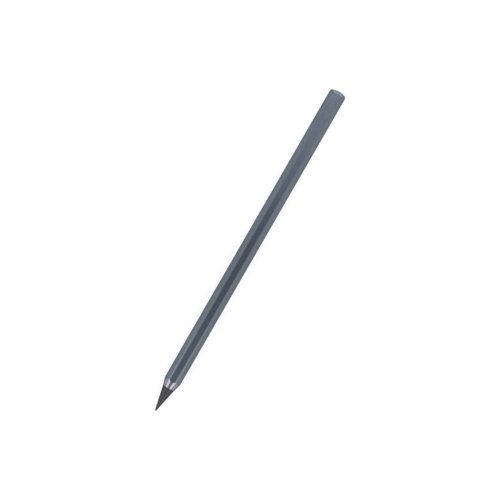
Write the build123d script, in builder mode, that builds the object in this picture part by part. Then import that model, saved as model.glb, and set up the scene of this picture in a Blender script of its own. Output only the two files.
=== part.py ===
from build123d import *
import math
import os

# Inkless metal pencil, in millimetres: a hexagonal aluminium barrel with a screw-in metal writing tip.
# It lies on one flat of its hexagon. X runs from the tip to the rear end and Z points up.
# The origin is on the resting flat, below the middle of the overall length.

# Barrel
barrel_length = 148.6
across_flats = 7.2
corner_radius = 2.2
bore_diameter = 4.4
nose_mouth_diameter = 5.5
nose_half_angle = 16.5
rear_dome_radius = 7.0
rear_edge_radius = 1.3
turning_allowance = 0.2

# Writing tip
tip_length = 11.4
tip_point_radius = 0.4

# Stud that carries the tip: a spigot glued into the tip and a thread that screws into the barrel
spigot_diameter = 2.2
spigot_length = 4.5
glue_groove_count = 3
glue_groove_width = 0.5
glue_groove_depth = 0.15
stud_thread_length = 5.5

# Thread between the stud and the nose bush, a right-hand one with 60 degree flanks
thread_diameter = 3.0
thread_pitch = 0.5
thread_height = 0.27
thread_crest_width = 0.06
thread_flank_angle = 30.0
thread_allowance = 0.06

# Nose bush, O-ring and end plug
bush_length = 8.0
bush_chamfer = 0.3
o_ring_section = 0.6
plug_length = 8.0
plug_chamfer = 0.4

# Clearances, per side
glue_gap = 0.01
o_ring_gap = 0.02

# Places along the pencil
overall_length = tip_length + barrel_length
tip_x = -overall_length / 2
nose_x = tip_x + tip_length
rear_x = nose_x + barrel_length
axis_height = across_flats / 2

# Radii
bore_radius = bore_diameter / 2
mouth_radius = nose_mouth_diameter / 2
spigot_radius = spigot_diameter / 2
corner_reach = across_flats / math.sqrt(3) - corner_radius * (2 / math.sqrt(3) - 1)
female_root_radius = thread_diameter / 2
female_crest_radius = female_root_radius - thread_height
male_crest_radius = female_root_radius - thread_allowance
male_root_radius = male_crest_radius - thread_height

# The O-ring sits round the spigot's diameter, in a counterbore at the bush's mouth.
o_ring_mean_radius = spigot_radius + o_ring_gap + o_ring_section / 2
seat_radius = o_ring_mean_radius + o_ring_section / 2 + o_ring_gap
seat_depth = o_ring_section + 2 * o_ring_gap
seat_floor_x = nose_x + seat_depth
stud_end_x = seat_floor_x + stud_thread_length

pencil_axis = Axis((0, 0, axis_height), (1, 0, 0))
# Profiles of turned pieces are drawn as (place along X, radius).
lathe_plane = Plane(origin=(0, 0, axis_height), x_dir=(1, 0, 0), z_dir=(0, -1, 0))


def cross_plane(x):
    """The plane across the pencil at x, facing the rear end."""
    return Plane(origin=(x, 0, axis_height), x_dir=(0, 1, 0), z_dir=(1, 0, 0))


def dome_x(radius):
    """Where the domed rear end is, at a radius from the axis."""
    return rear_x - rear_dome_radius + math.sqrt(rear_dome_radius**2 - radius**2)


def dome_arc(radius):
    """The dome's profile in the lathe plane, from a radius to the axis."""
    half_angle = math.degrees(math.asin(radius / rear_dome_radius))
    return CenterArc((rear_x - rear_dome_radius, 0), rear_dome_radius, half_angle, -half_angle)


def threaded_rod(root_radius, crest_radius, start_x, end_x):
    """A rod with a right-hand thread that starts and stops one pitch inside its ends."""
    base_radius = root_radius - thread_allowance
    ridge_height = crest_radius - base_radius
    half_crest = thread_crest_width / 2
    half_base = half_crest + ridge_height * math.tan(math.radians(thread_flank_angle))
    ridge_x = start_x + thread_pitch
    ridge_length = end_x - start_x - 2 * thread_pitch
    with BuildPart() as rod:
        with BuildSketch(cross_plane(start_x)):
            Circle(root_radius)
        extrude(amount=end_x - start_x)
        with BuildLine() as path:
            Helix(
                thread_pitch,
                ridge_length,
                base_radius,
                center=(ridge_x, 0, axis_height),
                direction=(1, 0, 0),
            )
        with BuildSketch(lathe_plane):
            with Locations((ridge_x, base_radius)):
                Polygon(
                    (-half_base, 0),
                    (half_base, 0),
                    (half_crest, ridge_height),
                    (-half_crest, ridge_height),
                    align=None,
                )
        sweep(path=path.line, is_frenet=True)
    return rod.part


# Barrel: hexagonal tube, anodised, with its front turned to a bare cone and its rear end domed
with BuildPart() as barrel:
    with BuildSketch(cross_plane(nose_x)):
        RegularPolygon(across_flats / 2, 6, major_radius=False)
        fillet(vertices(), corner_radius)
    extrude(amount=barrel_length)
    envelope_radius = corner_reach + turning_allowance
    cone_length = (envelope_radius - mouth_radius) / math.tan(math.radians(nose_half_angle))
    with BuildSketch(lathe_plane):
        with BuildLine():
            Polyline(
                (rear_x, 0),
                (nose_x, 0),
                (nose_x, mouth_radius),
                (nose_x + cone_length, envelope_radius),
                (dome_x(envelope_radius), envelope_radius),
            )
            dome_arc(envelope_radius)
        make_face()
    revolve(axis=pencil_axis, mode=Mode.INTERSECT)
    dome_face = barrel.faces().sort_by(Axis.X)[-1]
    fillet(dome_face.edges(), rear_edge_radius)
    with BuildSketch(cross_plane(nose_x)):
        Circle(bore_radius)
    extrude(amount=barrel_length, mode=Mode.SUBTRACT)
barrel.part.label = "barrel"

# Nose bush: brass bush glued into the front of the bore, tapped, with a seat for the O-ring at its mouth
bush_radius = bore_radius - glue_gap
bush_end_x = nose_x + bush_length
# The tap and the stud's thread start whole turns apart, so the two threads are in mesh.
tap = threaded_rod(
    female_crest_radius,
    female_root_radius,
    seat_floor_x - 2 * thread_pitch,
    bush_end_x + 2 * thread_pitch,
)
with BuildPart() as nose_bush:
    with BuildSketch(lathe_plane):
        with BuildLine():
            Polyline(
                (nose_x, 0),
                (nose_x, bush_radius),
                (bush_end_x - bush_chamfer, bush_radius),
                (bush_end_x, bush_radius - bush_chamfer),
                (bush_end_x, 0),
                close=True,
            )
        make_face()
    revolve(axis=pencil_axis)
    add(tap, mode=Mode.SUBTRACT)
    with BuildSketch(cross_plane(nose_x)):
        Circle(seat_radius)
    extrude(amount=seat_depth, mode=Mode.SUBTRACT)
nose_bush.part.label = "nose_bush"

# Tip stud: steel, with a grooved spigot for the tip and a thread with a chamfered end for the bush
spigot_x = nose_x - spigot_length
stud_blank_end_x = stud_end_x + 2 * thread_pitch
stud_thread = threaded_rod(male_root_radius, male_crest_radius, seat_floor_x, stud_blank_end_x)
with BuildPart() as tip_stud:
    with BuildSketch(lathe_plane):
        with BuildLine():
            Polyline(
                (spigot_x, 0),
                (spigot_x, spigot_radius),
                (seat_floor_x, spigot_radius),
                (seat_floor_x, 0),
                close=True,
            )
        make_face()
        groove_spacing = spigot_length / (glue_groove_count + 1)
        for groove in range(glue_groove_count):
            with Locations((spigot_x + (groove + 1) * groove_spacing, spigot_radius)):
                Rectangle(glue_groove_width, 2 * glue_groove_depth, mode=Mode.SUBTRACT)
    revolve(axis=pencil_axis)
    add(stud_thread)
    # The end is cut off square and chamfered at 45 degrees down to the thread's root.
    with BuildSketch(lathe_plane):
        with BuildLine():
            Polyline(
                (stud_end_x, 0),
                (stud_end_x, male_root_radius - thread_allowance),
                (stud_end_x - male_root_radius, 2 * male_root_radius - thread_allowance),
                (stud_blank_end_x + thread_pitch, 2 * male_root_radius - thread_allowance),
                (stud_blank_end_x + thread_pitch, 0),
                close=True,
            )
        make_face()
    revolve(axis=pencil_axis, mode=Mode.SUBTRACT)
tip_stud.part.label = "tip_stud"

# Writing tip: graphite-bearing metal cone with a rounded point and a blind hole for the stud's spigot
with BuildPart() as writing_tip:
    point_center_x = tip_x + tip_point_radius
    base_distance = math.hypot(nose_x - point_center_x, mouth_radius)
    cone_angle = math.degrees(
        math.atan2(mouth_radius, nose_x - point_center_x) - math.asin(tip_point_radius / base_distance)
    )
    socket_radius = spigot_radius + glue_gap
    socket_x = nose_x - spigot_length - glue_gap
    with BuildSketch(lathe_plane):
        with BuildLine():
            point_arc = CenterArc((point_center_x, 0), tip_point_radius, 180, cone_angle - 90)
            Polyline(
                point_arc @ 1,
                (nose_x, mouth_radius),
                (nose_x, socket_radius),
                (socket_x, socket_radius),
                (socket_x, 0),
                point_arc @ 0,
            )
        make_face()
    revolve(axis=pencil_axis)
writing_tip.part.label = "writing_tip"

# O-ring: a soft ring under the tip's base that keeps the screwed tip from working loose
with BuildPart() as tip_o_ring:
    with BuildSketch(lathe_plane):
        with Locations((nose_x + seat_depth / 2, o_ring_mean_radius)):
            Circle(o_ring_section / 2)
    revolve(axis=pencil_axis)
tip_o_ring.part.label = "tip_o_ring"

# End plug: aluminium plug glued into the rear of the bore and domed flush with the barrel
with BuildPart() as end_plug:
    plug_radius = bore_radius - glue_gap
    plug_x = rear_x - plug_length
    with BuildSketch(lathe_plane):
        with BuildLine():
            Polyline(
                (rear_x, 0),
                (plug_x, 0),
                (plug_x, plug_radius - plug_chamfer),
                (plug_x + plug_chamfer, plug_radius),
                (dome_x(plug_radius), plug_radius),
            )
            dome_arc(plug_radius)
        make_face()
    revolve(axis=pencil_axis)
end_plug.part.label = "end_plug"

os.makedirs("parts", exist_ok=True)
for piece in (barrel, nose_bush, tip_stud, writing_tip, tip_o_ring, end_plug):
    export_step(piece.part, f"parts/{piece.part.label}.step")
    print(piece.part.label, "volume", round(piece.part.volume, 2), "mm3")
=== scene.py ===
# %% [markdown]
# # An inkless metal pencil
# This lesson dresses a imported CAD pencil: a hexagonal anodised barrel, a bare turned nose and a dark
# metal tip. The CAD model is loaded first and never moved. It gives the places and the outer sizes, so
# the pieces that are modelled here fit without any adjusting.

# %% Load the CAD pencil
import math

import bmesh
import bpy
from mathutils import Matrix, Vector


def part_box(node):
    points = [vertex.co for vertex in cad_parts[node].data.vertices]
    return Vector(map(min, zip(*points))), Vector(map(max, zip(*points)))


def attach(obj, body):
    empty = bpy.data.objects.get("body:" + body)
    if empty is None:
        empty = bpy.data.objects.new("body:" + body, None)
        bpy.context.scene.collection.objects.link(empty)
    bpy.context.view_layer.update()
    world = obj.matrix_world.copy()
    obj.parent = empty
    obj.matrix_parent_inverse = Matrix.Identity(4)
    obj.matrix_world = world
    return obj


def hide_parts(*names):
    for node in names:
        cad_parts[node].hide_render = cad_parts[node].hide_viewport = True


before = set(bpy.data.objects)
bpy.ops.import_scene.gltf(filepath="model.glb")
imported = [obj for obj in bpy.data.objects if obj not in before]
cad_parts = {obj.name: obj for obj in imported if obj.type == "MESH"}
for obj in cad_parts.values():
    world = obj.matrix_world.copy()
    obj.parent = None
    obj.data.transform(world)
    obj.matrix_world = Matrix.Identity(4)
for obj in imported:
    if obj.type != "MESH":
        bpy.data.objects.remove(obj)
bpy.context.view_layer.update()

MM = 0.001


def in_mm(length):
    """A length in millimetres, rounded for printing."""
    return round(length / MM, 2)


# %% [markdown]
# ## Places
# Blender works in metres, so a size in millimetres is multiplied by MM. The boxes of the CAD nodes give
# the places along the pencil: the tip's point, the parting line between the tip and the nose, and the
# rear end. The few sizes that a box can't tell, such as the radius of a corner, are named where they
# are first needed.

# %% Places along the pencil
barrel_low, barrel_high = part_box("barrel")
tip_low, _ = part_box("writing_tip")
plug_low, plug_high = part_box("end_plug")

tip_x = tip_low.x
nose_x = barrel_low.x
rear_x = plug_high.x
plug_inner_x = plug_low.x
across_flats = barrel_high.z - barrel_low.z
axis_height = barrel_low.z + across_flats / 2
print("Tip at", in_mm(tip_x), "nose at", in_mm(nose_x), "rear end at", in_mm(rear_x), "mm")

# %% [markdown]
# ## Selecting by place
# An operator acts on whatever is selected. By hand, points, edges and faces are picked with the mouse.
# In code they are picked by a rule about where they are or which way they face, and the rule still
# holds when a size changes.

# %% Selecting by place
end_facing = 0.9


def radius_of(point):
    """Distance of a point from the pencil's axis."""
    return math.hypot(point.y, point.z - axis_height)


def looks_forwards(face):
    """True for a face across the pencil that looks towards the tip."""
    return face.normal.x < -end_facing


def looks_backwards(face):
    """True for a face across the pencil that looks towards the rear end."""
    return face.normal.x > end_facing


def select_where(kind, rule):
    """In edit mode, select only the points, edges or faces (VERT, EDGE, FACE) that the rule accepts."""
    bpy.ops.mesh.select_mode(type=kind)
    bpy.ops.mesh.select_all(action="DESELECT")
    mesh = bmesh.from_edit_mesh(bpy.context.object.data)
    elements = {"VERT": mesh.verts, "EDGE": mesh.edges, "FACE": mesh.faces}[kind]
    chosen = [element for element in elements if rule(element)]
    for element in chosen:
        element.select_set(True)
    mesh.select_flush_mode()
    bmesh.update_edit_mesh(bpy.context.object.data)


# %% [markdown]
# ## Turning on a lathe
# On a turned surface, the place along the pencil depends only on the distance from the axis. No
# operator lays points on a cone or a dome, so a helper does it in code: it gives the selected points a
# new radius and the place that belongs to it, and each point keeps its direction from the axis. A new
# ring of faces starts as an extrusion in place, which is then turned.


# %% Turning the selected points
def turn_selected(new_radius, new_x):
    """Lay the selected points on a turned surface: a new radius, then the place along the pencil."""
    mesh = bmesh.from_edit_mesh(bpy.context.object.data)
    for vert in mesh.verts:
        if vert.select:
            old = radius_of(vert.co)
            radius = new_radius(old)
            vert.co.x = new_x(radius)
            vert.co.y *= radius / old
            vert.co.z = axis_height + (vert.co.z - axis_height) * radius / old
    bmesh.update_edit_mesh(bpy.context.object.data)


def unchanged(radius):
    """A radius rule that keeps every point at its distance from the axis."""
    return radius


def extrude_selected():
    """Extrude the selected faces in place, ready to be turned."""
    bpy.ops.mesh.extrude_region_move(TRANSFORM_OT_translate={"value": (0, 0, 0)})


# %% [markdown]
# ## The barrel
# The real barrel is a drawn hexagonal tube. It is anodised first, then its front is turned to a cone,
# which cuts through the colour to bare metal and leaves a shallow scallop on each flat. A hexagonal
# outline could be drawn and extruded, but a cylinder with six sides is the bar already. Its long edges
# are bevelled into round corners. A bevel's curve is a true arc only at a right angle, so a helper
# works out the profile for other turns.

# %% Hexagonal bar with rounded corners
corner_radius = 2.2 * MM
corner_turn = math.radians(60)
corner_segments = 12
# A hexagon's sides are as long as the radius to its corners.
hexagon_side = across_flats / math.sqrt(3)


def settle(name):
    """Name the new primitive and move its place into its mesh, so that its object sits at the origin."""
    piece = bpy.context.object
    piece.name = name
    bpy.ops.object.transform_apply(location=True, rotation=True, scale=True)
    return piece


def round_selected(radius, turn, segments):
    """Bevel the selected edges to an arc, where the surface turns by an angle, and return the arc's reach."""
    reach = radius * math.tan(turn / 2)
    cut = radius * (1 / math.cos(turn / 2) - 1)
    diagonal = 2 * reach * math.sin(turn / 2)
    # The square root of a bevel's profile is how far its middle lies along the corner's diagonal.
    bpy.ops.mesh.bevel(offset=reach, segments=segments, profile=(1 - cut / diagonal) ** 2, affect="EDGES")
    return reach


bpy.ops.object.select_all(action="DESELECT")
bpy.ops.mesh.primitive_cylinder_add(
    vertices=6,
    radius=hexagon_side,
    depth=rear_x - nose_x,
    location=((nose_x + rear_x) / 2, 0, axis_height),
    rotation=(0, math.pi / 2, 0),
)
barrel = settle("barrel_shell")
bpy.ops.object.mode_set(mode="EDIT")
select_where("EDGE", lambda edge: edge.calc_length() > (rear_x - nose_x) / 2)
corner_reach = round_selected(corner_radius, corner_turn, corner_segments)
print("Bar with", len(bmesh.from_edit_mesh(barrel.data).faces), "faces")

# %% [markdown]
# On the lathe the cone cuts into the corners first and into the flats last, which makes the scallops. A
# Boolean with a cone would cut them too, but it leaves long thin faces that shade badly. Here the flats
# are divided into strips, so that their ends can follow a curve, and the front end's points slide along
# the bar onto the cone. Two extrusions then make the cone and the ring around the bore.

# %% Turned nose
nose_half_angle = math.radians(16.5)
mouth_radius = 2.75 * MM
bore_radius = 2.2 * MM
flat_cuts = 15
flat_width = hexagon_side - 2 * corner_reach


def cone_x(radius):
    """Where the turned nose cone is, at a radius from the axis."""
    return nose_x + (radius - mouth_radius) / math.tan(nose_half_angle)


def crosses_flat(edge):
    """True for an edge across a whole flat, at either end of the bar."""
    step = abs(edge.verts[0].co.x - edge.verts[1].co.x)
    return step < MM and edge.calc_length() > flat_width / 2


select_where("EDGE", crosses_flat)
bpy.ops.mesh.subdivide(number_cuts=flat_cuts)

select_where("FACE", looks_forwards)
turn_selected(unchanged, cone_x)
extrude_selected()
turn_selected(lambda radius: mouth_radius, cone_x)
extrude_selected()
turn_selected(lambda radius: bore_radius, lambda radius: nose_x)
print("Scallops come within", in_mm(cone_x(across_flats / 2) - nose_x), "mm of the parting line")

# %% [markdown]
# The rear end is domed in the same way, in three rings that shrink from the hexagon's outline to the
# bore's circle. Each ring goes a share of the way that is left. The rim is then bevelled round.

# %% Domed rear end
rear_dome_radius = 7.0 * MM
rear_edge_radius = 1.3 * MM
rim_segments = 8
rim_tolerance = 0.1 * MM
dome_ring_shares = (0.6, 0.5, 1.0)


def dome_x(radius):
    """Where the domed rear end is, at a radius from the axis."""
    return rear_x - rear_dome_radius + math.sqrt(rear_dome_radius**2 - radius**2)


def on_rear_rim(edge):
    """True for an edge of the hexagon's outline at the rear end."""
    least_radius = across_flats / 2 - rim_tolerance
    return all(vert.co.x > 0 and radius_of(vert.co) > least_radius for vert in edge.verts)


select_where("FACE", looks_backwards)
turn_selected(unchanged, dome_x)
for share in dome_ring_shares:
    extrude_selected()
    turn_selected(lambda radius: radius + share * (bore_radius - radius), dome_x)

select_where("EDGE", on_rear_rim)
rim_turn = math.pi / 2 - math.asin(across_flats / 2 / rear_dome_radius)
round_selected(rear_edge_radius, rim_turn, rim_segments)
print("Dome falls by", in_mm(rear_x - dome_x(across_flats / 2)), "mm from its middle to the flats")

# %% [markdown]
# The bore runs right through the tube. Both end faces are already circles of the bore's size, so
# nothing has to be cut: they are removed, and the two open loops are bridged.

# %% Bore
select_where("FACE", lambda face: len(face.verts) > 4)
bpy.ops.mesh.delete(type="ONLY_FACE")
select_where("EDGE", lambda edge: edge.is_boundary)
bpy.ops.mesh.bridge_edge_loops()
print("Barrel with", len(bmesh.from_edit_mesh(barrel.data).faces), "faces")

# %% [markdown]
# A cutting tool never leaves a perfectly sharp edge, and a tiny broken edge is what catches the light
# along a joint. A Bevel modifier could break every sharp edge at once. Here three rings are enough, the
# nose's mouth and both ends of the bore, so each is selected by its place and bevelled.

# %% Broken edges
edge_break = 0.05 * MM
edge_break_segments = 2
place_tolerance = 0.02 * MM
merge_distance = 0.0005 * MM


def near(value, target):
    """True if a place is the target, within the tolerance."""
    return abs(value - target) < place_tolerance


def break_ring(x, radius):
    """Bevel the ring of edges at a place along the pencil and a radius, by a hair."""

    def on_ring(edge):
        return all(near(vert.co.x, x) and near(radius_of(vert.co), radius) for vert in edge.verts)

    select_where("EDGE", on_ring)
    bpy.ops.mesh.bevel(offset=edge_break, segments=edge_break_segments, affect="EDGES")


def finish_mesh(smooth_angle):
    """Merge doubled points, turn the faces outwards and smooth the shading, except at sharper angles."""
    bpy.ops.mesh.select_all(action="SELECT")
    bpy.ops.mesh.remove_doubles(threshold=merge_distance)
    bpy.ops.mesh.normals_make_consistent(inside=False)
    bpy.ops.object.mode_set(mode="OBJECT")
    bpy.ops.object.shade_smooth_by_angle(angle=math.radians(smooth_angle))


break_ring(nose_x, mouth_radius)
break_ring(nose_x, bore_radius)
break_ring(dome_x(bore_radius), bore_radius)
finish_mesh(smooth_angle=12)
print("Barrel shell of", len(barrel.data.polygons), "faces")

# %% [markdown]
# ## The writing tip
# The tip is a cone of dark, soft metal that wears away very slowly as it writes. Its point is slightly
# rounded, and its base has a blind hole for the stud. A profile could be spun round the axis, but that
# leaves a seam to close. A cone primitive is closed from the start, so one that stops short of the
# point is the blank. Its small end is extruded in steps along the arc of the point, and its last flat
# becomes a fan of faces whose middle is the point.

# %% Cone with a rounded point
round_steps = 144
point_steps = 10
axis_tolerance = 0.001 * MM
tip_point_radius = 0.4 * MM
point_center_x = tip_x + tip_point_radius
base_distance = math.hypot(nose_x - point_center_x, mouth_radius)
base_angle = math.atan2(mouth_radius, nose_x - point_center_x)
tip_half_angle = base_angle - math.asin(tip_point_radius / base_distance)
point_base_x = point_center_x - tip_point_radius * math.sin(tip_half_angle)


def close_with_point(flat_x, point_x):
    """Fan out the selected flat end, and move its middle along the pencil to the point."""
    bpy.ops.mesh.poke(offset=0)
    select_where("VERT", lambda vert: radius_of(vert.co) < axis_tolerance)
    bpy.ops.transform.translate(value=(point_x - flat_x, 0, 0))


bpy.ops.object.select_all(action="DESELECT")
bpy.ops.mesh.primitive_cone_add(
    vertices=round_steps,
    radius1=mouth_radius,
    radius2=tip_point_radius * math.cos(tip_half_angle),
    depth=nose_x - point_base_x,
    location=((nose_x + point_base_x) / 2, 0, axis_height),
    rotation=(0, -math.pi / 2, 0),
)
tip = settle("tip_cone")
bpy.ops.object.mode_set(mode="EDIT")
select_where("FACE", looks_forwards)
for step in range(1, point_steps):
    angle = tip_half_angle + (math.pi / 2 - tip_half_angle) * step / point_steps
    ring_radius = tip_point_radius * math.cos(angle)
    ring_x = point_center_x - tip_point_radius * math.sin(angle)
    extrude_selected()
    turn_selected(lambda radius: ring_radius, lambda radius: ring_x)
close_with_point(ring_x, tip_x)
print("Cone with a half angle of", round(math.degrees(tip_half_angle), 2), "degrees")

# %% [markdown]
# The stud's spigot is glued into a blind hole in the tip's base. A hole could be cut with a Boolean,
# but the base is one flat face: an inset draws the hole's circle, and one extrusion sinks it.

# %% Socket in the tip's base
socket_radius = 1.11 * MM
socket_depth = 4.51 * MM
select_where("FACE", looks_backwards)
bpy.ops.mesh.inset(thickness=mouth_radius - socket_radius)
bpy.ops.mesh.extrude_region_move(TRANSFORM_OT_translate={"value": (-socket_depth, 0, 0)})
break_ring(nose_x, mouth_radius)
break_ring(nose_x, socket_radius)
finish_mesh(smooth_angle=20)
print("Tip of", len(tip.data.polygons), "faces")

# %% [markdown]
# ## The end plug
# A turned plug closes the rear of the tube. It is domed flush with the barrel, so only a hairline ring
# shows. Its dome could be cut from a sphere, but laid on the barrel's own dome the two meet without a
# step. A cylinder is the blank: its outer face is turned onto the dome and drawn in by three rings, and
# its inner rim is chamfered so that it starts easily in the bore.

# %% Domed plug
plug_radius = 2.19 * MM
plug_chamfer = 0.4 * MM
plug_ring_shares = (0.25, 0.6, 0.8)
bpy.ops.object.select_all(action="DESELECT")
bpy.ops.mesh.primitive_cylinder_add(
    vertices=round_steps,
    radius=plug_radius,
    depth=rear_x - plug_inner_x,
    location=((rear_x + plug_inner_x) / 2, 0, axis_height),
    rotation=(0, math.pi / 2, 0),
)
plug = settle("plug_dome")
bpy.ops.object.mode_set(mode="EDIT")
select_where("EDGE", lambda edge: all(near(vert.co.x, plug_inner_x) for vert in edge.verts))
bpy.ops.mesh.bevel(offset=plug_chamfer, segments=1, affect="EDGES")

select_where("FACE", looks_backwards)
turn_selected(unchanged, dome_x)
for share in plug_ring_shares:
    extrude_selected()
    turn_selected(lambda radius: radius * (1 - share), dome_x)
crown_radius = plug_radius * math.prod(1 - share for share in plug_ring_shares)
close_with_point(dome_x(crown_radius), rear_x)
break_ring(dome_x(plug_radius), plug_radius)
finish_mesh(smooth_angle=20)
print("Plug of", len(plug.data.polygons), "faces")

# %% [markdown]
# ## Patterns for the finishes
# Each finish is one Principled shader whose colour, roughness and bump come from patterns. A picture
# could be wrapped round a piece, but it would need unwrapping and would blur close up. Patterns on
# Object coordinates need no unwrapping. Those coordinates are in metres, so a noise of scale 4000 has
# grains about a quarter of a millimetre across.

# %% Patterns
# A wave pattern of scale 1 repeats after this distance.
wave_length = math.pi / 10


def shader_of(finish):
    """The Principled shader of a finish."""
    return finish.node_tree.nodes["Principled BSDF"]


def new_finish(name, metallic, painted_edge_shade_tint=1.0):
    """A material with its Principled shader. A metal's edge tint dims it at a grazing angle; below 1 it
    paints shade along the outline.
    """
    finish = bpy.data.materials.new(name)
    finish.use_nodes = True
    shader = shader_of(finish)
    shader.inputs["Metallic"].default_value = metallic
    shader.inputs["Specular Tint"].default_value = (painted_edge_shade_tint, painted_edge_shade_tint, painted_edge_shade_tint, 1)
    return finish


def add_noise(finish, scale, stretch=(1, 1, 1), detail=4.0):
    """A noise pattern on Object coordinates. A small stretch along an axis draws it out that way."""
    nodes = finish.node_tree.nodes
    links = finish.node_tree.links
    place = nodes.new("ShaderNodeTexCoord")
    mapping = nodes.new("ShaderNodeMapping")
    mapping.inputs["Scale"].default_value = stretch
    noise = nodes.new("ShaderNodeTexNoise")
    noise.inputs["Scale"].default_value = scale
    noise.inputs["Detail"].default_value = detail
    links.new(place.outputs["Object"], mapping.inputs["Vector"])
    links.new(mapping.outputs["Vector"], noise.inputs["Vector"])
    return noise.outputs["Fac"]


def add_rings(finish, spacing, unevenness, on_end_face=False):
    """Lathe rings round the pencil's axis, with a spacing in metres: along the pencil or on an end face."""
    nodes = finish.node_tree.nodes
    links = finish.node_tree.links
    place = nodes.new("ShaderNodeTexCoord")
    mapping = nodes.new("ShaderNodeMapping")
    wave = nodes.new("ShaderNodeTexWave")
    if on_end_face:
        mapping.inputs["Location"].default_value = (0, 0, -axis_height)
        wave.wave_type = "RINGS"
        wave.rings_direction = "X"
    else:
        wave.bands_direction = "X"
    wave.inputs["Scale"].default_value = wave_length / spacing
    wave.inputs["Distortion"].default_value = unevenness
    links.new(place.outputs["Object"], mapping.inputs["Vector"])
    links.new(mapping.outputs["Vector"], wave.inputs["Vector"])
    return wave.outputs["Fac"]


def blend_patterns(finish, first, second, share):
    """Mix two grey patterns, with a share of the second."""
    mix = finish.node_tree.nodes.new("ShaderNodeMix")
    mix.inputs["Factor"].default_value = share
    finish.node_tree.links.new(first, mix.inputs["A"])
    finish.node_tree.links.new(second, mix.inputs["B"])
    return mix.outputs["Result"]


# %% [markdown]
# A pattern runs from 0 to 1, but noise seldom leaves the range from 0.3 to 0.7. So that range is spread
# over a finish's two tones, or over its smoothest and roughest places.

# %% From patterns to the shader
pattern_low = 0.3
pattern_high = 0.7


def colour_by(finish, pattern, dark, light):
    """Base colour between two tones, by a pattern."""
    ramp = finish.node_tree.nodes.new("ShaderNodeValToRGB")
    first, last = ramp.color_ramp.elements
    first.position = pattern_low
    first.color = (*dark, 1)
    last.position = pattern_high
    last.color = (*light, 1)
    finish.node_tree.links.new(pattern, ramp.inputs["Fac"])
    finish.node_tree.links.new(ramp.outputs["Color"], shader_of(finish).inputs["Base Color"])


def roughness_by(finish, pattern, smooth, rough):
    """Roughness between two values, by a pattern."""
    spread = finish.node_tree.nodes.new("ShaderNodeMapRange")
    spread.inputs["From Min"].default_value = pattern_low
    spread.inputs["From Max"].default_value = pattern_high
    spread.inputs["To Min"].default_value = smooth
    spread.inputs["To Max"].default_value = rough
    finish.node_tree.links.new(pattern, spread.inputs["Value"])
    finish.node_tree.links.new(spread.outputs["Result"], shader_of(finish).inputs["Roughness"])


def bump_by(finish, pattern, depth):
    """Surface relief of a depth in metres, by a pattern."""
    bump = finish.node_tree.nodes.new("ShaderNodeBump")
    bump.inputs["Distance"].default_value = depth
    finish.node_tree.links.new(pattern, bump.inputs["Height"])
    finish.node_tree.links.new(bump.outputs["Normal"], shader_of(finish).inputs["Normal"])


# %% [markdown]
# ## Anodised aluminium
# The barrel is blasted with fine beads, which makes it satin, and then dyed blue-grey in its oxide
# layer. The dye varies a little over centimetres, the blasting gives a fine grain, and the drawn tube
# keeps faint lines along its length. A painted look would need a shader that isn't metallic. Here the
# metal shows through the oxide, so the shader is metallic with a dark colour.

# %% Finish of the barrel
# An edge tint of 0.4 paints shade along the barrel's outline.
anodised = new_finish("anodised_blue_grey", metallic=1.0, painted_edge_shade_tint=0.4)
dye_clouds = add_noise(anodised, scale=60)
blast_grain = add_noise(anodised, scale=2600, detail=5.0)
draw_lines = add_noise(anodised, scale=2500, stretch=(0.004, 1, 1), detail=3.0)
tone = blend_patterns(anodised, dye_clouds, blast_grain, share=0.7)
satin = blend_patterns(anodised, blast_grain, draw_lines, share=0.5)
colour_by(anodised, tone, dark=(0.123, 0.148, 0.182), light=(0.166, 0.193, 0.230))
roughness_by(anodised, satin, smooth=0.17, rough=0.23)
bump_by(anodised, blast_grain, depth=0.002 * MM)
print("Made", anodised.name)

# %% [markdown]
# ## Faced rear end
# The rear end is faced on a lathe before the dye bath. It takes the same dye, and the tool leaves fine
# rings round its middle. Its colour is a little lighter than the flats', partly because its ground is
# smoother than the blasted flats and partly as a painted highlight on the rim of the rear end. A wave
# pattern of rings, centred on the axis, draws them.

# %% Finish of the rear end and the plug
cut_mark_depth = 0.0006 * MM
faced_with_painted_highlight = new_finish("faced_blue_grey_painted_highlight", metallic=1.0)
facing_rings = add_rings(faced_with_painted_highlight, spacing=0.06 * MM, unevenness=1.5, on_end_face=True)
faced_grain = add_noise(faced_with_painted_highlight, scale=3000)
facing_marks = blend_patterns(faced_with_painted_highlight, facing_rings, faced_grain, share=0.5)
# The lighter tones partly paint the highlight on the rim of the rear end.
colour_by(faced_with_painted_highlight, facing_marks, dark=(0.150, 0.174, 0.200), light=(0.185, 0.210, 0.237))
roughness_by(faced_with_painted_highlight, facing_marks, smooth=0.18, rough=0.25)
bump_by(faced_with_painted_highlight, facing_marks, depth=cut_mark_depth)
print("Made", faced_with_painted_highlight.name)

# %% [markdown]
# ## Bare turned aluminium
# The nose is cut by a lathe tool after anodising, so it is bright, and covered in rings too fine to see
# one by one. Such rings smear a reflection along the pencil and keep it sharp around it. Bump alone
# can't show rings that are finer than a pixel. An anisotropic shader does, with its direction running
# around the axis.

# %% Finish of the nose
# An edge tint of 0.1 paints shade along the sides of the nose.
turned = new_finish("turned_bare_aluminium", metallic=1.0, painted_edge_shade_tint=0.1)
tool_rings = add_rings(turned, spacing=0.09 * MM, unevenness=1.5)
metal_grain = add_noise(turned, scale=3000, stretch=(4, 1, 1))
tool_marks = blend_patterns(turned, tool_rings, metal_grain, share=0.5)
colour_by(turned, tool_marks, dark=(0.222, 0.226, 0.258), light=(0.270, 0.275, 0.312))
roughness_by(turned, tool_marks, smooth=0.15, rough=0.21)
bump_by(turned, tool_marks, depth=cut_mark_depth)

quarter_turn = 0.25
shader_of(turned).inputs["Anisotropic"].default_value = 0.7
shader_of(turned).inputs["Anisotropic Rotation"].default_value = quarter_turn
around = turned.node_tree.nodes.new("ShaderNodeTangent")
around.direction_type = "RADIAL"
around.axis = "X"
turned.node_tree.links.new(around.outputs["Tangent"], shader_of(turned).inputs["Tangent"])
print("Made", turned.name)
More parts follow.
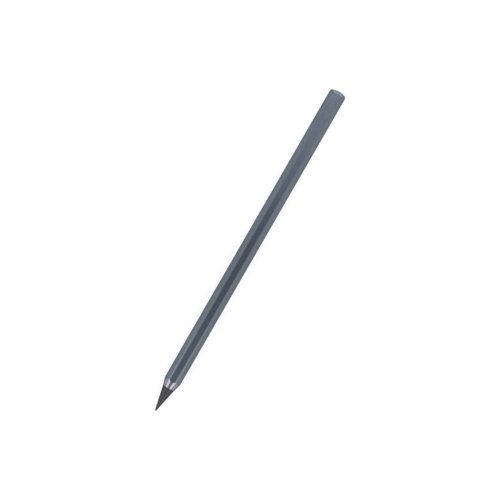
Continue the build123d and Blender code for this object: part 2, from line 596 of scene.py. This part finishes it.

# %% [markdown]
# ## Dark writing metal
# The tip is a graphite-bearing alloy, matt and nearly black. It is cast, then turned, so faint rings
# lie under a mottled surface that is a little smoother where it is darker. Two sizes of noise make the
# mottle, because one alone looks printed.

# %% Finish of the tip
# An edge tint of 0.3 paints shade along the tip's outline.
writing_metal = new_finish("dark_writing_metal", metallic=1.0, painted_edge_shade_tint=0.3)
cast_mottle = add_noise(writing_metal, scale=900, detail=6.0)
tip_grain = add_noise(writing_metal, scale=6000, detail=3.0)
tip_rings = add_rings(writing_metal, spacing=0.15 * MM, unevenness=4.0)
mottle = blend_patterns(writing_metal, cast_mottle, tip_grain, share=0.6)
relief = blend_patterns(writing_metal, tip_grain, tip_rings, share=0.25)
colour_by(writing_metal, mottle, dark=(0.044, 0.045, 0.049), light=(0.080, 0.081, 0.087))
roughness_by(writing_metal, mottle, smooth=0.40, rough=0.52)
bump_by(writing_metal, relief, depth=0.003 * MM)
print("Made", writing_metal.name)

# %% [markdown]
# ## The pieces inside
# The brass bush, the steel stud and the rubber ring keep their CAD shapes, which already have their
# threads and grooves. They only show when the tip is unscrewed, and they still get real finishes. The
# bush and the stud are cut on a lathe, so one helper makes both metals.


# %% Finishes of the bush, the stud and the ring
def machined_metal(name, ring_spacing, grain_scale, dark, light, rough):
    """A bare metal with fine lathe rings."""
    metal = new_finish(name, metallic=1.0)
    rings = add_rings(metal, ring_spacing, unevenness=1.0)
    marks = blend_patterns(metal, rings, add_noise(metal, grain_scale), share=0.5)
    colour_by(metal, marks, dark, light)
    roughness_by(metal, marks, smooth=0.22, rough=rough)
    bump_by(metal, marks, depth=cut_mark_depth)
    return metal


brass = machined_metal(
    "machined_brass",
    ring_spacing=0.07 * MM,
    grain_scale=2500,
    dark=(0.60, 0.41, 0.15),
    light=(0.74, 0.53, 0.22),
    rough=0.36,
)
steel = machined_metal(
    "machined_steel",
    ring_spacing=0.05 * MM,
    grain_scale=3000,
    dark=(0.46, 0.46, 0.47),
    light=(0.58, 0.58, 0.59),
    rough=0.34,
)
rubber = new_finish("black_rubber", metallic=0.0)
rubber_bloom = add_noise(rubber, scale=2000, detail=5.0)
colour_by(rubber, rubber_bloom, dark=(0.018, 0.018, 0.019), light=(0.032, 0.032, 0.034))
roughness_by(rubber, rubber_bloom, smooth=0.5, rough=0.68)
bump_by(rubber, rubber_bloom, depth=0.001 * MM)
print("Made", brass.name, steel.name, rubber.name)

# %% [markdown]
# ## Giving out the finishes
# Each new piece stands in for its CAD node and moves with the same body, so that the tip still
# unscrews. The nose's faces look forwards and the domed end's faces look backwards. The barrel could be
# split there, but its normals tell the faces apart, so they are only moved to the barrel's second and
# third material slots.

# %% Finishes, bodies and slots
least_nose_facing = 0.1
least_rear_facing = 0.8


def dress(piece, finish, body, node):
    """Give a new piece its finish and its body, and hide the CAD node that it stands in for."""
    piece.data.materials.append(finish)
    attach(piece, body)
    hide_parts(node)


dress(barrel, anodised, "barrel", "barrel")
dress(plug, faced_with_painted_highlight, "barrel", "end_plug")
dress(tip, writing_metal, "tip", "writing_tip")

barrel.data.materials.append(turned)
barrel.data.materials.append(faced_with_painted_highlight)
for face in barrel.data.polygons:
    if face.normal.x < -least_nose_facing:
        face.material_index = 1
    # The rear faces take the lighter finish, which partly paints the rim's highlight.
    elif face.normal.x > least_rear_facing:
        face.material_index = 2

for node, finish in (("nose_bush", brass), ("tip_stud", steel), ("tip_o_ring", rubber)):
    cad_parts[node].material_slots[0].material = finish
print("Dressed", barrel.name, plug.name, tip.name)

# %% [markdown]
# ## Floor
# The pencil lies on a plain white sheet. More light would make the sheet white, and the pencil too
# pale. So the sheet's material glows white to the camera and to reflections alone, and takes the rest
# of its brightness from the lights, so the pencil keeps a soft shadow. The sheet lies a hair below the
# pencil, because two faces in one place would flicker.

# %% White sheet
sheet_size = 6.0
sheet_drop = 0.02 * MM
sheet_glow = 0.82
bpy.ops.object.select_all(action="DESELECT")
bpy.ops.mesh.primitive_plane_add(size=sheet_size, location=(0, 0, -sheet_drop))
floor = settle("floor_sheet")
paper = new_finish("white_paper", metallic=0.0)
shader_of(paper).inputs["Roughness"].default_value = 0.9
colour_by(paper, add_noise(paper, scale=400), dark=(0.19, 0.19, 0.19), light=(0.21, 0.21, 0.21))


def seen_directly(tree):
    """One for camera, glossy and transmission rays, zero for the light that bounces about."""
    path = tree.nodes.new("ShaderNodeLightPath")
    first = tree.nodes.new("ShaderNodeMath")
    first.operation = "MAXIMUM"
    tree.links.new(path.outputs["Is Camera Ray"], first.inputs[0])
    tree.links.new(path.outputs["Is Glossy Ray"], first.inputs[1])
    second = tree.nodes.new("ShaderNodeMath")
    second.operation = "MAXIMUM"
    tree.links.new(first.outputs["Value"], second.inputs[0])
    tree.links.new(path.outputs["Is Transmission Ray"], second.inputs[1])
    return second.outputs["Value"]


glow = paper.node_tree.nodes.new("ShaderNodeMath")
glow.operation = "MULTIPLY"
glow.inputs[1].default_value = sheet_glow
paper.node_tree.links.new(seen_directly(paper.node_tree), glow.inputs[0])
shader_of(paper).inputs["Emission Color"].default_value = (1, 1, 1, 1)
paper.node_tree.links.new(glow.outputs["Value"], shader_of(paper).inputs["Emission Strength"])
floor.data.materials.append(paper)
print("Laid", floor.name)

# %% [markdown]
# ## Light
# Metal looks like what it reflects, so the light is a set of glowing panels, and their edges show as
# the edges of light and dark on the pencil. Lamps would light it as well, but a panel can be graded
# along its length. The panels are hidden from the camera.


# %% A graded cloth
def graded_cloth(name, stops, tint):
    """A cloth that glows by stops, which are places along the pencil in mm and their brightness."""
    cloth = bpy.data.materials.new(name)
    cloth.use_nodes = True
    nodes = cloth.node_tree.nodes
    links = cloth.node_tree.links
    nodes.remove(nodes["Principled BSDF"])
    first_place = stops[0][0]
    last_place = stops[-1][0]
    brightest = max(level for _, level in stops)

    place = nodes.new("ShaderNodeTexCoord")
    axes = nodes.new("ShaderNodeSeparateXYZ")
    links.new(place.outputs["Object"], axes.inputs["Vector"])
    spread = nodes.new("ShaderNodeMapRange")
    spread.inputs["From Min"].default_value = first_place * MM
    spread.inputs["From Max"].default_value = last_place * MM
    links.new(axes.outputs["X"], spread.inputs["Value"])

    ramp = nodes.new("ShaderNodeValToRGB")
    ramp.color_ramp.interpolation = "EASE"
    for stop_place, _ in stops[1:-1]:
        ramp.color_ramp.elements.new((stop_place - first_place) / (last_place - first_place))
    for element, (_, level) in zip(ramp.color_ramp.elements, stops):
        element.color = (*(level / brightest * channel for channel in tint), 1)
    links.new(spread.outputs["Result"], ramp.inputs["Fac"])

    glow = nodes.new("ShaderNodeEmission")
    glow.inputs["Strength"].default_value = brightest
    links.new(ramp.outputs["Color"], glow.inputs["Color"])
    links.new(glow.outputs["Emission"], nodes["Material Output"].inputs["Surface"])
    return cloth


# %% [markdown]
# A panel is a plane with such a cloth, level above the pencil or upright behind it. One helper makes
# every panel from two corners, so moving a panel's edge is one number.

# %% A glowing panel
front_end = -500 * MM
rear_end = 500 * MM


def add_panel(name, low, high, stops, tint=(1, 1, 1)):
    """A glowing panel between two corners, lying level or standing across the pencil."""
    width, depth, height = (end - start for start, end in zip(low, high))
    bpy.ops.object.select_all(action="DESELECT")
    bpy.ops.mesh.primitive_plane_add(size=1)
    panel = bpy.context.object
    panel.scale = (max(width, height), depth, 1)
    panel.rotation_euler = (0, math.pi / 2 if height > width else math.pi, 0)
    panel.location = [(start + end) / 2 for start, end in zip(low, high)]
    settle(name)
    panel.visible_camera = False
    panel.data.materials.append(graded_cloth(name + "_cloth", stops, tint))


def even(level):
    """Stops for a panel that is equally bright all along."""
    return ((front_end / MM, level), (rear_end / MM, level))


# %% [markdown]
# A flat diffuser hangs above the pencil in three parts: a dim strip above its top flat, brighter
# towards the rear end, and a bright panel on each side, brighter towards the tip. The corners and the
# nose pick up the side panels as light lines.

# %% Diffuser
diffuser_height = 140 * MM
strip_right = -70 * MM
strip_left = 59 * MM
side_reach = 250 * MM
strip_tint = (0.98, 1.0, 1.075)
strip_stops = (
    (-110, 0.53),
    (-70, 0.53),
    (-20, 0.43),
    (10, 0.43),
    (30, 0.55),
    (50, 0.71),
    (80, 0.93),
    (110, 1.2),
)
side_stops = (
    (-210, 2.45),
    (-130, 2.2),
    (-90, 1.8),
    (-64, 1.38),
    (-50, 1.11),
    (-20, 0.97),
    (110, 0.88),
)
add_panel(
    "overhead_strip",
    (front_end, strip_right, diffuser_height),
    (rear_end, strip_left, diffuser_height),
    strip_stops,
    strip_tint,
)
add_panel(
    "left_panel",
    (front_end, strip_left, diffuser_height),
    (rear_end, side_reach, diffuser_height),
    side_stops,
)
add_panel(
    "right_panel",
    (front_end, -side_reach, diffuser_height),
    (rear_end, strip_right, diffuser_height),
    side_stops,
)
print("Hung the diffuser at", in_mm(diffuser_height), "mm")

# %% [markdown]
# Four small panels shape the two ends. One narrows the dim strip in front of the nose, so that the dark
# streak on the turned cone is slim. One lights the rounded edge of the rear end from above, and two
# cards that stand behind the pencil give the domed end its light rim.

# %% Panels for the ends
lower_height = diffuser_height - 2 * MM
front_reach = -330 * MM
front_edge = -112 * MM
front_strip_right = -57 * MM
rear_edge = 112 * MM
card_x = 250 * MM
card_gap = 40 * MM
card_reach = 400 * MM
rear_level = 1.8
card_level = 2.5
add_panel(
    "front_panel",
    (front_reach, strip_right, lower_height),
    (front_edge, front_strip_right, lower_height),
    side_stops,
)
add_panel(
    "rear_panel",
    (rear_edge, -side_reach, lower_height),
    (rear_end, side_reach, lower_height),
    even(rear_level),
)
for name, low_y, high_y in (("left_card", card_gap, card_reach), ("right_card", -card_reach, -card_gap)):
    add_panel(name, (card_x, low_y, 0), (card_x, high_y, lower_height), even(card_level))
print("Lit the nose and the rear end")

# %% [markdown]
# Beyond the panels there is only a white room. The camera and reflections see it as white, and it
# lights the scene more gently than that, so that the pencil's shadow stays.

# %% Room
room_light = 0.5
room = bpy.data.worlds.new("white_room")
bpy.context.scene.world = room
room.use_nodes = True
background = room.node_tree.nodes["Background"]
spread = room.node_tree.nodes.new("ShaderNodeMapRange")
spread.inputs["To Min"].default_value = room_light
spread.inputs["To Max"].default_value = 1.0
room.node_tree.links.new(seen_directly(room.node_tree), spread.inputs["Value"])
background.inputs["Color"].default_value = (1, 1, 1, 1)
room.node_tree.links.new(spread.outputs["Result"], background.inputs["Strength"])
print("Room light", room_light)

# %% [markdown]
# ## Camera
# The picture looks squarely at the top flat, with the pencil slanting up to the right at 60 degrees. A
# short lens close by would make the pencil taper, so a long lens a metre away keeps its outline almost
# parallel. The picture is taken to be 500 pixels square, and the pencil's middle lies a few pixels left
# of its centre.

# %% Camera above the pencil
scene = bpy.context.scene
picture_side = 500
pixel = 0.4344 * MM
slant = math.radians(60.05)
camera_distance = 1.0
shift_right = 2.6 * pixel
shift_up = 1.0 * pixel

camera_data = bpy.data.cameras.new("overhead_camera")
camera = bpy.data.objects.new("overhead_camera", camera_data)
scene.collection.objects.link(camera)
camera_data.lens = camera_data.sensor_width * camera_distance / (picture_side * pixel)
camera.rotation_euler = (0, 0, -slant)
camera.location = (
    shift_right * math.cos(slant) + shift_up * math.sin(slant),
    -shift_right * math.sin(slant) + shift_up * math.cos(slant),
    axis_height + camera_distance,
)
scene.camera = camera
scene.view_settings.view_transform = "Standard"
print("Lens of", round(camera_data.lens, 1), "mm")
